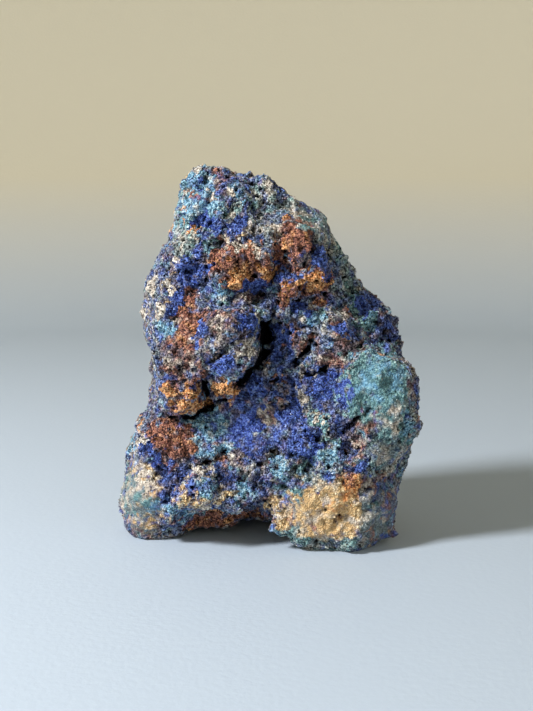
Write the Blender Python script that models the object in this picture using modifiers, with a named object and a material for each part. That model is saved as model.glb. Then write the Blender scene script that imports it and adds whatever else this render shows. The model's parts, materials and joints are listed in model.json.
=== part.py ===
"""Azurite specimen: one rough, upright lump of copper ore that stands on its own broken base.

The rock is one solid. It is lofted through level outlines, given its chunks and hollows, rounded
off by a voxel remesh, roughened, and broken off flat under the four feet that it rests on.
Every size below is in millimetres and is turned into metres by MM. The broad crusted face looks
along -Y, +Z is up, and the origin is at the middle of the base.
"""

import math

import bmesh
import bpy
from mathutils import Euler, Matrix, Vector, noise

MM = 0.001

# Overall size of the specimen
WIDTH = 50.8
DEPTH = 32.0
HEIGHT = 61.8

# Level outlines, seen from above. Each starts at the left rim and goes round by the front:
# left, front left, front, front right, right, back right, back, back left, as (x, y).
LEVELS = (
    (1.5, ((-25, 3), (-22, -8), (-4, -6), (9, -14), (22, -10), (18, 9), (0, 13), (-17, 10))),
    (4.0, ((-26, 3), (-23, -9), (-4, -11), (10, -16), (21, -8), (19, 11), (1, 15), (-19, 11))),
    (9.0, ((-25, 3), (-22, -9), (-3, -13), (12, -16), (22, -4), (19, 12), (2, 16), (-19, 12))),
    (15.0, ((-24, 3), (-21, -9), (-3, -12), (14, -15), (24, -4), (20, 11), (2, 16), (-18, 12))),
    (21.0, ((-21, 3), (-18, -9), (-2, -10), (17, -14), (25, -4), (20, 9), (2, 15), (-17, 12))),
    (26.0, ((-19, 3), (-16, -9), (-1, -9), (17, -13), (25, -4), (19, 8), (2, 14), (-16, 11))),
    (30.0, ((-21, 3), (-17, -9), (0, -8), (14, -11), (23, -3), (18, 8), (2, 14), (-15, 11))),
    (36.0, ((-22, 4), (-18, -9), (0, -8), (12, -10), (20, -1), (15, 8), (1, 12), (-14, 10))),
    (41.0, ((-21, 3), (-17, -9), (-2, -8), (9, -9), (16, -1), (12, 7), (-1, 11), (-13, 9))),
    (46.0, ((-19, 3), (-16, -7), (-3, -8), (8, -8), (14, -1), (10, 6), (-2, 10), (-13, 8))),
    (51.0, ((-16, 3), (-14, -6), (-4, -7), (6, -6), (11, 0), (7, 5), (-4, 8), (-12, 7))),
    (55.0, ((-15, 2), (-13, -5), (-5, -6), (3, -4), (8, 0), (3, 4), (-5, 6), (-12, 6))),
    (58.0, ((-14, 2), (-13, -4), (-6, -5), (-1, -3), (3, 0), (0, 3), (-6, 5), (-11, 5))),
    (60.0, ((-13, 1), (-12, -3), (-7, -3), (-1, -2), (2, 0), (0, 2), (-6, 4), (-11, 4))),
    (62.0, ((-12, 1), (-12, -1), (-10, -1), (-9, -1), (-9, 0), (-9, 1), (-11, 2), (-12, 2))),
)

# Chunks that stand out of the rock: centre, half sizes, and turn about Y in degrees
CHUNKS = {
    "centre boulder": ((-6.5, -9, 33), (6, 5, 8), 15),
    "left column": ((-14, -7, 30), (4.3, 5, 9), 8),
    "rust knoll": ((-4, -7.5, 48), (6, 3, 4.5), 0),
    "brown knoll": ((5.5, -7, 46), (4, 3.5, 7), 5),
    "peak": ((-10.5, 0, 59), (2.5, 2.5, 3), 0),
    "green lobe": ((16.5, -8, 22), (8, 7, 11), 12),
    "blue knob": ((17.5, 0, 35.5), (4.3, 5, 5), 0),
    "left lip": ((-12, -9.5, 9), (7, 4, 3.5), 0),
    "right foot": ((11, -9, 6), (9.2, 6.8, 8.5), 0),
    "left foot": ((-19.5, -2, 4), (6, 6.5, 6), 0),
    "right heel": ((12, 6, 4), (7, 6, 6), 0),
    "left heel": ((-9, 7, 4), (7, 5, 6), 0),
}

# Hollows that are cut in: centre, half sizes, and turns about X, Y and Z in degrees
HOLLOWS = {
    "deep cleft": ((0.5, -12, 34), (1.6, 8, 6), (0, 5, -10)),
    "ledge cleft": ((-8, -13, 23.5), (8, 6, 1.5), (0, -28, 0)),
    "side cleft": ((9, -14, 30), (5, 6, 1.0), (0, -40, 0)),
    "base arch": ((-2.5, -11, 1), (4.5, 11, 6), (0, 0, 0)),
    "low arch": ((-9.5, -13, 1), (6.5, 8, 5), (0, 0, 0)),
}

# Block of ground that breaks the feet off flat: width and height
GROUND = (100, 20)
LEVEL_WITHIN = 0.15

# Roughness of the broken surface: size of the lumps, their height, and whether they are ridged
GRAINS = (
    (9.0, 0.9, True),
    (3.6, 0.55, True),
    (1.8, 0.3, False),
)

VOXEL = 0.9
SOFTENING = 3
TRIANGLES = 8000


def clear_scene():
    for old in list(bpy.data.objects):
        bpy.data.objects.remove(old)


def new_object(name, bm, collection):
    mesh = bpy.data.meshes.new(name)
    bm.to_mesh(mesh)
    bm.free()
    made = bpy.data.objects.new(name, mesh)
    collection.objects.link(made)
    return made


def new_collection(name):
    made = bpy.data.collections.new(name)
    bpy.context.scene.collection.children.link(made)
    return made


def loft(bm):
    """Joins the level outlines into one closed body."""
    rings = []
    for height, outline in LEVELS:
        rings.append([bm.verts.new(Vector((x, y, height)) * MM) for x, y in outline])
    for lower, upper in zip(rings, rings[1:]):
        for i in range(len(lower)):
            j = (i + 1) % len(lower)
            bm.faces.new((lower[i], lower[j], upper[j], upper[i]))
    bm.faces.new(reversed(rings[0]))
    bm.faces.new(rings[-1])


def ellipsoid(bm, centre, half_sizes, turns):
    """Adds a ball, stretched to its half sizes, turned and set in place."""
    place = Matrix.Translation(Vector(centre) * MM)
    turn = Euler([math.radians(a) for a in turns]).to_matrix().to_4x4()
    stretch = Matrix.Diagonal((*(Vector(half_sizes) * MM), 1))
    bmesh.ops.create_icosphere(bm, subdivisions=3, radius=1, matrix=place @ turn @ stretch)


def block_out(collection):
    """The rough block: the lofted body and its chunks, in one mesh of overlapping shells."""
    bm = bmesh.new()
    loft(bm)
    for centre, half_sizes, turn in CHUNKS.values():
        ellipsoid(bm, centre, half_sizes, (0, turn, 0))
    bmesh.ops.recalc_face_normals(bm, faces=bm.faces)
    return new_object("block", bm, collection)


def new_cutter(name, bm, collection):
    cutter = new_object(name, bm, collection)
    cutter.hide_render = True
    cutter.display_type = "WIRE"
    return cutter


def hollow_cutters(collection):
    cutters = []
    for name, (centre, half_sizes, turns) in HOLLOWS.items():
        bm = bmesh.new()
        ellipsoid(bm, centre, half_sizes, turns)
        cutters.append(new_cutter(name, bm, collection))
    return cutters


def ground_cutter(collection):
    """A block whose top is the level that the rock stands on."""
    width, height = GROUND
    bm = bmesh.new()
    shape = Matrix.Translation((0, 0, -height * MM / 2)) @ Matrix.Diagonal(
        (width * MM, width * MM, height * MM, 1)
    )
    bmesh.ops.create_cube(bm, size=1, matrix=shape)
    return new_cutter("ground", bm, collection)


def add_remesh(block, name):
    remesh = block.modifiers.new(name, "REMESH")
    remesh.mode = "VOXEL"
    remesh.voxel_size = VOXEL * MM


def add_cut(block, cutter):
    cut = block.modifiers.new(cutter.name, "BOOLEAN")
    cut.operation = "DIFFERENCE"
    cut.object = cutter


def weather(block, cutters):
    """Fuses the shells, cuts the hollows and softens every edge, as modifiers on the block."""
    add_remesh(block, "fuse")
    for cutter in cutters:
        add_cut(block, cutter)
    add_remesh(block, "even out")
    soften = block.modifiers.new("soften", "SMOOTH")
    soften.factor = 0.5
    soften.iterations = SOFTENING


def evaluated_mesh(made):
    graph = bpy.context.evaluated_depsgraph_get()
    return bpy.data.meshes.new_from_object(made.evaluated_get(graph), depsgraph=graph)


def roughness_at(place):
    """Height of the broken surface above the block at a place, in millimetres."""
    height = 0.0
    for size, amount, ridged in GRAINS:
        value = noise.noise(place / size)
        height += amount * (0.5 - 2 * abs(value) if ridged else value)
    return height


def roughen(mesh):
    bm = bmesh.new()
    bm.from_mesh(mesh)
    bm.normal_update()
    shifts = [v.normal * roughness_at(v.co / MM) * MM for v in bm.verts]
    for vert, shift in zip(bm.verts, shifts):
        vert.co += shift
    bm.to_mesh(mesh)
    bm.free()


def fit_to_size(mesh):
    """Stretches the rock to its exact overall size, with its origin at the middle of its base."""
    corners = [[f(v.co[axis] for v in mesh.vertices) for axis in range(3)] for f in (min, max)]
    low, high = Vector(corners[0]), Vector(corners[1])
    wanted = Vector((WIDTH, DEPTH, HEIGHT)) * MM
    stretch = Matrix.Diagonal([wanted[axis] / (high[axis] - low[axis]) for axis in range(3)])
    foot = Vector(((low.x + high.x) / 2, (low.y + high.y) / 2, low.z))
    mesh.transform(stretch.to_4x4() @ Matrix.Translation(-foot))


def level_feet(mesh):
    """Brings the points of the flat feet onto exactly one plane."""
    for vert in mesh.vertices:
        if vert.co.z < LEVEL_WITHIN * MM:
            vert.co.z = 0


def thin_out(rock):
    thin = rock.modifiers.new("thin out", "DECIMATE")
    rock.data.calc_loop_triangles()
    thin.ratio = TRIANGLES / len(rock.data.loop_triangles)
    thin.use_collapse_triangulate = True


def azurite_material():
    made = bpy.data.materials.new("azurite crust")
    made.use_nodes = True
    shader = made.node_tree.nodes["Principled BSDF"]
    shader.inputs["Base Color"].default_value = (0.035, 0.045, 0.16, 1)
    shader.inputs["Roughness"].default_value = 0.7
    shader.inputs["Metallic"].default_value = 0.0
    return made


def apply_modifiers(made):
    made.data = evaluated_mesh(made)
    made.modifiers.clear()


def build():
    clear_scene()
    helpers = new_collection("helpers")
    specimen = new_collection("azurite specimen")
    block = block_out(helpers)
    block.hide_render = True
    weather(block, hollow_cutters(helpers))
    rock = bpy.data.objects.new("azurite_rock", evaluated_mesh(block))
    specimen.objects.link(rock)
    roughen(rock.data)
    add_remesh(rock, "close the grain")
    add_cut(rock, ground_cutter(helpers))
    apply_modifiers(rock)
    thin_out(rock)
    apply_modifiers(rock)
    fit_to_size(rock.data)
    level_feet(rock.data)
    rock.data.materials.append(azurite_material())
    rock.data.shade_smooth()
    return rock


build()
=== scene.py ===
# %% [markdown]
# # A rough azurite specimen
#
# The real thing is a hand-sized lump of copper ore. Its broad face is crusted with azurite in tiny
# blue crystals, with green malachite, rusty iron oxide and pale crystals grown through it. Its back
# and sides are duller host rock. All of it grew as one piece, so there is one rock, and the loose
# looking grains on it are grown fast to it.
#
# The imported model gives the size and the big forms. This lesson copies them, carves the finer
# relief, paints the minerals as fields on the surface, and grows the crystals last.

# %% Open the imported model
import json

import bpy
import numpy as np
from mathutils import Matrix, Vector, noise

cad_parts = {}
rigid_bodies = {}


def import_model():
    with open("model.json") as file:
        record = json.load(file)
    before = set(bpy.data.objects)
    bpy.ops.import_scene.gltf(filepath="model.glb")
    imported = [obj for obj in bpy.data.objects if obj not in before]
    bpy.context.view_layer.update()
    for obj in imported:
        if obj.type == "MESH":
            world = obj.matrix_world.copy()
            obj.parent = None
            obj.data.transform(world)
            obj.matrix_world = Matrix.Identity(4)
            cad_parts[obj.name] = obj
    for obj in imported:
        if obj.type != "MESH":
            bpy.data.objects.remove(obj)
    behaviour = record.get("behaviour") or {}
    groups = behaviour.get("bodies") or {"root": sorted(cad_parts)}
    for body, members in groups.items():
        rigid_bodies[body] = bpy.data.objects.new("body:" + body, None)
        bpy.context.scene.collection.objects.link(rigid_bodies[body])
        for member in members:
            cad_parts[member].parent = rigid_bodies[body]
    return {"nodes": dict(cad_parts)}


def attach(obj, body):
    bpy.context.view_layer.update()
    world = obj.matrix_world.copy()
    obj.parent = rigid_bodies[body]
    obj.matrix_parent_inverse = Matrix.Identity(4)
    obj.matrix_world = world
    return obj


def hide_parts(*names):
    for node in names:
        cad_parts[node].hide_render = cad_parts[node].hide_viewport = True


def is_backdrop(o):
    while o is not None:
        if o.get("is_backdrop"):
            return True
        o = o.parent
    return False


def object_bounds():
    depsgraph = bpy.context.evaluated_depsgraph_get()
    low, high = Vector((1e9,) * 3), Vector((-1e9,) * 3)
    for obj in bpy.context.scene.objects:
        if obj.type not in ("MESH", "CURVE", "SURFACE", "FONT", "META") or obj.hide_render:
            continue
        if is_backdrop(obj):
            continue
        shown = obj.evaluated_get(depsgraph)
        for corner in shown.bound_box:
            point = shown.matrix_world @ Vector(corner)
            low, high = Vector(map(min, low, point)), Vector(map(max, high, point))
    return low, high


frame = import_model()
cad_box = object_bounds()
MM = 0.001
SEED = 7
print("model box in mm:", [[round(c / MM, 1) for c in corner] for corner in cad_box])

# %% [markdown]
# ## Camera
#
# The lump is seen a little from above, as a hand-held camera sees a stone on a table. A 60 mm lens
# about 19 cm away gives the gentle perspective of a close look. The lens is aimed at a point inside
# the lump, and the turn is worked out from that, so only two places have to be known.

# %% Camera
CAMERA_PLACE = Vector((0, -196.87, 59.28)) * MM
CAMERA_AIM = Vector((0, -5, 30.6)) * MM
CAMERA_LENS = 60

camera = bpy.data.objects.new("camera", bpy.data.cameras.new("camera"))
bpy.context.scene.collection.objects.link(camera)
camera.location = CAMERA_PLACE
view = CAMERA_AIM - CAMERA_PLACE
camera.rotation_euler = view.to_track_quat("-Z", "Y").to_euler()
camera.data.lens = CAMERA_LENS
camera.data.clip_start = 10 * MM
bpy.context.scene.camera = camera
print("camera looks down by", round(np.degrees(np.arctan2(-view.z, view.y)), 1), "degrees")

# %% [markdown]
# ## Helpers
#
# Blender's operators work on whatever is selected, and loading the model leaves it selected. So
# each step first selects just its own piece. Colours are written as a painter reads them, as hex
# codes, and turned into the linear numbers that shaders work with. A finish is built from few kinds
# of node, so each kind gets a short helper that adds it, wires it up and gives its output.


# %% Helpers for modelling
def only_select(piece):
    bpy.ops.object.select_all(action="DESELECT")
    piece.select_set(True)
    bpy.context.view_layer.objects.active = piece


def apply_modifiers(piece):
    only_select(piece)
    for modifier in list(piece.modifiers):
        bpy.ops.object.modifier_apply(modifier=modifier.name)


def colour(code):
    parts = [int(code[i : i + 2], 16) / 255 for i in (1, 3, 5)]
    return (*[c / 12.92 if c <= 0.04045 else ((c + 0.055) / 1.055) ** 2.4 for c in parts], 1)


def add_node(tree, kind, inputs=None, **settings):
    made = tree.nodes.new(kind)
    for name, value in settings.items():
        setattr(made, name, value)
    for key, value in (inputs or {}).items():
        if isinstance(value, bpy.types.NodeSocket):
            tree.links.new(value, made.inputs[key])
        else:
            made.inputs[key].default_value = value
    return made


# %% Helpers for finishes
def new_material(name):
    made = bpy.data.materials.new(name)
    made.use_nodes = True
    return made, made.node_tree, made.node_tree.nodes["Principled BSDF"]


def place_of(tree):
    return add_node(tree, "ShaderNodeTexCoord").outputs["Object"]


def field_of(tree, name):
    return add_node(tree, "ShaderNodeAttribute", attribute_name=name).outputs["Fac"]


def speckle_of(tree, place, scale, detail=2.0, roughness=0.5):
    inputs = {"Vector": place, "Scale": scale, "Detail": detail, "Roughness": roughness}
    return add_node(tree, "ShaderNodeTexNoise", inputs).outputs["Fac"]


def range_of(tree, value, low=0.0, high=1.0, start=0.0, end=1.0):
    """Carries a value that runs from low to high over to one that runs from start to end."""
    inputs = {"Value": value, "From Min": low, "From Max": high, "To Min": start, "To Max": end}
    return add_node(tree, "ShaderNodeMapRange", inputs).outputs["Result"]


def math_of(tree, operation, *values):
    inputs = dict(enumerate(values))
    return add_node(tree, "ShaderNodeMath", inputs, operation=operation).outputs[0]


def sum_of(tree, total, *parts):
    """Adds values to a total, each times its weight."""
    for value, weight in parts:
        total = math_of(tree, "MULTIPLY_ADD", value, weight, total)
    return total


def blend_of(tree, share, one, other):
    inputs = {0: share, 6: one, 7: other}
    return add_node(tree, "ShaderNodeMix", inputs, data_type="RGBA").outputs[2]


def bump_of(tree, height, strength, distance):
    inputs = {"Height": height, "Strength": strength, "Distance": distance * MM}
    return add_node(tree, "ShaderNodeBump", inputs).outputs["Normal"]


# %% [markdown]
# ## Table and backdrop
#
# A product photographer's sweep: a pale table top that curves up into a plain wall, with no line
# between them. It could be a bent sheet, but a disc whose rim is pulled outwards and up in steps
# looks the same from every side.

# %% Table and backdrop
TABLE_RADIUS = 270
SWEEP_STEPS = ((1.10, 4), (1.10, 12), (1.08, 22), (1.05, 35), (1.02, 50), (1.0, 420))  # wider, up

bpy.ops.object.select_all(action="DESELECT")
bpy.ops.mesh.primitive_circle_add(vertices=96, radius=TABLE_RADIUS * MM, fill_type="NGON")
sweep = bpy.context.object
sweep.name = "table_sweep"
bpy.ops.object.mode_set(mode="EDIT")
bpy.ops.mesh.select_mode(type="EDGE")
bpy.ops.mesh.select_all(action="SELECT")
for spread, rise in SWEEP_STEPS:
    bpy.ops.mesh.extrude_edges_move(TRANSFORM_OT_translate={"value": (0, 0, rise * MM)})
    bpy.ops.transform.resize(value=(spread, spread, 1))
bpy.ops.object.mode_set(mode="OBJECT")
bpy.ops.object.shade_smooth()
sweep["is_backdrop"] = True
print("sweep has", len(sweep.data.polygons), "faces")

# %% [markdown]
# The sweep is matt painted board with a faint tooth. Its cool white turns into a warm wall over the
# height of the curve, which the finish reads from its own Z.

# %% Finish of the table and backdrop
TABLE_WHITE = "#b0bece"
WALL_CREAM = "#cbc4ae"
CURVE_HEIGHT = 60

sweep_finish, tree, shader = new_material("painted_sweep")
place = place_of(tree)
height = add_node(tree, "ShaderNodeSeparateXYZ", {"Vector": place}).outputs["Z"]
rise = range_of(tree, height, 0.0, CURVE_HEIGHT * MM)
paint = blend_of(tree, rise, colour(TABLE_WHITE), colour(WALL_CREAM))
tree.links.new(paint, shader.inputs["Base Color"])
shader.inputs["Roughness"].default_value = 0.65
tooth = bump_of(tree, speckle_of(tree, place, 900.0), 0.15, 0.3)
tree.links.new(tooth, shader.inputs["Normal"])
sweep.data.materials.append(sweep_finish)
print("sweep painted from", TABLE_WHITE, "to", WALL_CREAM)

# %% [markdown]
# ## Light
#
# Daylight comes from the front left and above, from one panel. It is small enough to leave dark
# shadows in the clefts, and it rakes across the crust so that every grain shows. The sky around
# gives a weak fill, and a second, wide panel on the right keeps the far side from going black.


# %% Light
def add_panel(name, place, size, power, tint):
    """Adds a square panel that faces the rock: place and size in metres, power in watts."""
    bpy.ops.object.light_add(type="AREA", location=place)
    panel = bpy.context.object
    panel.name = name
    panel.data.size = size
    panel.data.energy = power
    panel.data.color = tint
    panel.rotation_euler = (CAMERA_AIM - Vector(place)).to_track_quat("-Z", "Y").to_euler()
    panel.visible_camera = False
    return panel


add_panel("window", (-0.27, -0.17, 0.28), 0.07, 2.58, (1.0, 0.98, 0.96))
add_panel("fill", (0.28, -0.22, 0.14), 0.30, 0.12, (0.92, 0.96, 1.0))

sky = bpy.data.worlds.new("sky")
sky.use_nodes = True
sky.node_tree.nodes["Background"].inputs["Color"].default_value = (0.86, 0.92, 1.0, 1)
sky.node_tree.nodes["Background"].inputs["Strength"].default_value = 0.15
bpy.context.scene.world = sky
bpy.context.scene.view_settings.view_transform = "Standard"
print("lights:", [light.name for light in bpy.data.lights])

# %% [markdown]
# ## The rock, blocked out
#
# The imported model's mesh is loose triangles, so its copy is merged first. A voxel remesh then lays
# an even net of small faces over it, fine enough to carve. Rounds of carving follow, with a finer
# remesh between them, because pushed faces stretch and the net has to be laid again.

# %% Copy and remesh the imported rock
NODE = "azurite_rock"

rock = bpy.data.objects.new("azurite_crust", frame["nodes"][NODE].data.copy())
bpy.context.scene.collection.objects.link(rock)
rock.data.materials.clear()
only_select(rock)
bpy.ops.object.mode_set(mode="EDIT")
bpy.ops.mesh.select_all(action="SELECT")
bpy.ops.mesh.remove_doubles(threshold=0.01 * MM)
bpy.ops.object.mode_set(mode="OBJECT")


def remesh(piece, voxel):
    lay = piece.modifiers.new("net", "REMESH")
    lay.mode = "VOXEL"
    lay.voxel_size = voxel * MM
    apply_modifiers(piece)
    print("net of", voxel, "mm has", len(piece.data.vertices), "points")


remesh(rock, 0.5)

# %% [markdown]
# ## Make room, and true up the outline
#
# Relief and grains will stand out from the surface, so the carving starts a little inside the
# packed rock. Soft shoves then true up the outline, as a sculptor leans on clay with a thumb: each
# has a centre, a reach and a push, in millimetres.

# %% Make room, and true up the outline
INSET = 0.3
SHOVES = {  # centre, reach, push
    "peak": ((-12.5, 0, 60.5), 3.0, (0.2, 0, 0.3)),
    "right of the peak": ((-2.7, 0, 61), 4.0, (0, 0, -1.5)),
    "low right crown": ((3, -1, 60), 4.0, (-0.4, 0, -1.1)),
    "left temple": ((-14, 0, 56), 4.0, (-0.6, 0, 0)),
    "right brow": ((9, 0, 52.7), 4.0, (0.7, 0, 0)),
    "below the brow": ((11.5, 0, 50), 3.0, (0.8, 0, 0)),
    "right shoulder": ((14, 0, 45), 3.0, (-1.0, 0, 0)),
    "right knob": ((20.5, 0, 38), 3.5, (-1.5, 0, 0)),
    "under the knob": ((22.5, 0, 32), 3.5, (2.1, 0, 0)),
    "right lobe": ((25, -4, 24), 7.0, (-1.7, 0, 0)),
    "low on the lobe": ((25, -6, 20.5), 3.5, (-1.4, 0, 0)),
    "right side, low": ((21, -9, 9), 4.0, (1.4, 0, 0)),
    "toe tip": ((20, -12, 2), 3.5, (-1.2, 0.4, -0.2)),
    "arch side of the right foot": ((3, -12, 3.5), 4.0, (-1.6, 0, -0.9)),
    "low edge of the lip": ((-6, -8, 3.5), 5.0, (0, 0, 2.5)),
    "left foot toe": ((-23, -2, 2), 4.0, (1.2, 0, 0.5)),
    "left waist": ((-19.5, 1, 25.5), 5.0, (-1.0, 0, 0)),
    "right wall of the cleft": ((2.0, -8, 35), 3.5, (-0.6, 0, 0)),
    "front of the right foot": ((12, -16, 6), 8.0, (0, 1.0, 0)),
    "front of the lobe": ((14, -16, 19), 6.0, (0, 0.7, 0)),
}

# %% [markdown]
# ## Carving tools
#
# A carver's tools, written as functions that move all the points of a mesh at once. They work in
# millimetres. A ramp is a soft step from 0 to 1, and noise is the same at each run, so that the
# rock is too. Sculpt brushes would give the same forms, but not from a script.


# %% Carving tools
def points_of(mesh):
    flat = np.empty(len(mesh.vertices) * 3, np.float32)
    mesh.vertices.foreach_get("co", flat)
    return flat.reshape(-1, 3).astype(float) / MM


def normals_of(mesh):
    flat = np.empty(len(mesh.vertices) * 3, np.float32)
    mesh.vertex_normals.foreach_get("vector", flat)
    return flat.reshape(-1, 3).astype(float)


def move_points(mesh, points):
    mesh.vertices.foreach_set("co", (points * MM).astype(np.float32).ravel())
    mesh.update()


def ramp(values, low, high):
    t = np.clip((values - low) / (high - low), 0, 1)
    return t * t * (3 - 2 * t)


def noise_at(points, size, seed=0):
    shift = Vector((31.7, -12.3, 7.9)) * seed
    return np.array([noise.noise(Vector(p) / size + shift) for p in points])


def drift(points, size, seed, reach):
    """A slow random shift for each point, so that straight lines and round outlines come out ragged."""
    return np.stack([noise_at(points, size, seed + step) for step in range(3)], 1) * reach


def distance_to_line(points, line):
    nearest = np.full(len(points), np.inf)
    across = points[:, (0, 2)]
    for start, end in zip(line, line[1:]):
        start, run = np.array(start), np.subtract(end, start)
        along = np.clip((across - start) @ run / (run @ run), 0, 1)
        gap = np.linalg.norm(across - start - along[:, None] * run, axis=1)
        nearest = np.minimum(nearest, gap)
    return nearest


def is_inside(points, outline):
    """Tells which points lie inside an outline, by counting the edges to their right."""
    inside = np.zeros(len(points), bool)
    x, z = points[:, 0], points[:, 2]
    for (x0, z0), (x1, z1) in zip(outline, outline[1:] + outline[:1]):
        crosses = (z0 > z) != (z1 > z)
        inside ^= crosses & (x < (x1 - x0) * (z - z0) / (z1 - z0 + 1e-9) + x0)
    return inside


def shove(mesh, shoves):
    points = points_of(mesh)
    for centre, reach, push in shoves.values():
        away = np.linalg.norm(points - centre, axis=1) / reach
        points += ramp(-away, -1, 0)[:, None] * np.array(push)
    move_points(mesh, points)


def pull_in(mesh, depth):
    """Moves every point inwards, but leaves the flat feet on the ground."""
    points = points_of(mesh)
    inwards = -normals_of(mesh) * depth
    inwards[:, 2] *= ramp(points[:, 2], 1, 4)
    move_points(mesh, points + inwards)


pull_in(rock.data, INSET)
shove(rock.data, SHOVES)
print("pulled in by", INSET, "mm and shoved at", len(SHOVES), "places")

# %% [markdown]
# ## The broad face
#
# The crust on the face grew in knolls and ledges, and where they meet, clefts run deep between
# them. A carver thinks of such places by name: a knoll here, a crack there. Each is given as (x, z)
# in millimetres, seen square on. A lump stands out softly, a terrace is lifted whole and ends in a
# crisp edge, a crack follows a line, and a hole is round.

# %% Where the face stands out, is cracked, and is bored
LUMPS = {  # place, half width, half height, how far it stands out
    "rust knoll": ((-4.5, 46.5), 4.4, 3.0, 0.9),
    "knoll foot": ((-4.5, 43.3), 1.8, 1.4, 0.8),
    "knoll right": ((0.2, 44.2), 1.3, 1.7, 0.9),
    "right knoll": ((4.5, 49.8), 2.9, 2.6, 0.9),
    "ochre lump": ((3.6, 42.2), 1.3, 2.0, 1.0),
    "second ochre lump": ((8.0, 43.0), 2.0, 2.0, 1.1),
    "knoblet": ((2.4, 44.4), 1.1, 1.5, 1.0),
    "brow": ((-4.5, 54.5), 2.2, 2.4, 0.7),
    "eyebrow": ((-10.0, 49.5), 2.2, 2.4, 0.7),
    "brow side": ((9.0, 46.5), 1.4, 2.6, 0.9),
    "boulder crown": ((-6.5, 36.5), 3.0, 2.6, 0.4),
    "boulder chin": ((-5.0, 31.0), 3.0, 2.2, 0.9),
    "boulder tip": ((-6.5, 26.6), 2.4, 1.6, 1.2),
    "column foot": ((-13.0, 25.0), 2.6, 2.2, 1.1),
    "column nodule": ((-16.0, 27.5), 1.3, 1.4, 0.7),
    "column cream": ((-16.3, 39.5), 1.2, 2.0, 0.6),
    "slope patch": ((-15.0, 18.0), 3.4, 3.6, 0.8),
    "lip nodule": ((-11.5, 10.0), 3.2, 3.0, 1.1),
    "left foot": ((-20.5, 9.0), 3.2, 4.2, 0.7),
    "mauve field": ((11.5, 35.8), 3.4, 2.4, 0.5),
    "brown patch": ((4.3, 34.5), 2.2, 1.8, 0.5),
    "blue shelf": ((9.5, 26.0), 3.2, 2.2, 0.5),
    "lower field": ((4.5, 18.5), 3.6, 2.6, 0.5),
    "lobe cheek": ((18.5, 27.0), 3.6, 4.2, 0.5),
    "cream ridge": ((5.3, 26.3), 0.8, 2.1, 1.2),
    "tan boss": ((8.4, 39.4), 1.1, 0.9, 0.5),
}
TERRACES = {  # outline, height, and the level above which it melts into the slope
    "boulder": (
        ((-10, 24.2), (-4.8, 24.6), (-3.4, 27), (-0.9, 31), (-0.2, 36), (-0.6, 42), (-10, 42)),
        1.7,
        38,
    ),
    "column": (((-17.5, 22), (-12.5, 21.3), (-9.9, 23), (-9.6, 29), (-9.8, 42), (-18, 42)), 2.0, 38),
    "rust knoll": (
        ((-9, 44), (-6, 42), (-3, 41.8), (0.8, 42.8), (1.2, 45), (0.4, 48), (-3, 49.4), (-8, 48)),
        0.8,
        49,
    ),
    "right knoll": (((2, 48.2), (4, 46.6), (6.6, 46.9), (7.3, 50), (5.8, 52.6), (2.4, 52)), 0.8, 52),
    "ochre lump": (((2.6, 40), (4.8, 40.2), (5.6, 42.8), (4.4, 44.6), (2.8, 43)), 0.9, 46),
    "second ochre lump": (((6.2, 41.6), (8.6, 41), (10, 43), (8.4, 45.2), (6.4, 44.6)), 0.9, 46),
    "green lobe": (
        ((12, 25), (12.4, 30.6), (16, 33), (21.5, 32.4), (26, 30), (26, 12), (17, 13), (15, 20)),
        0.7,
        40,
    ),
    "lip nodule": (((-15.6, 7.2), (-9, 6.6), (-7.6, 9), (-8.6, 12.6), (-12, 12.6), (-14, 10.6)), 0.8, 14),
    "sandy foot": (((0.5, 2), (2, 9.4), (6, 13.4), (12, 15), (17.4, 12), (19, 2)), 0.4, 20),
}
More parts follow.
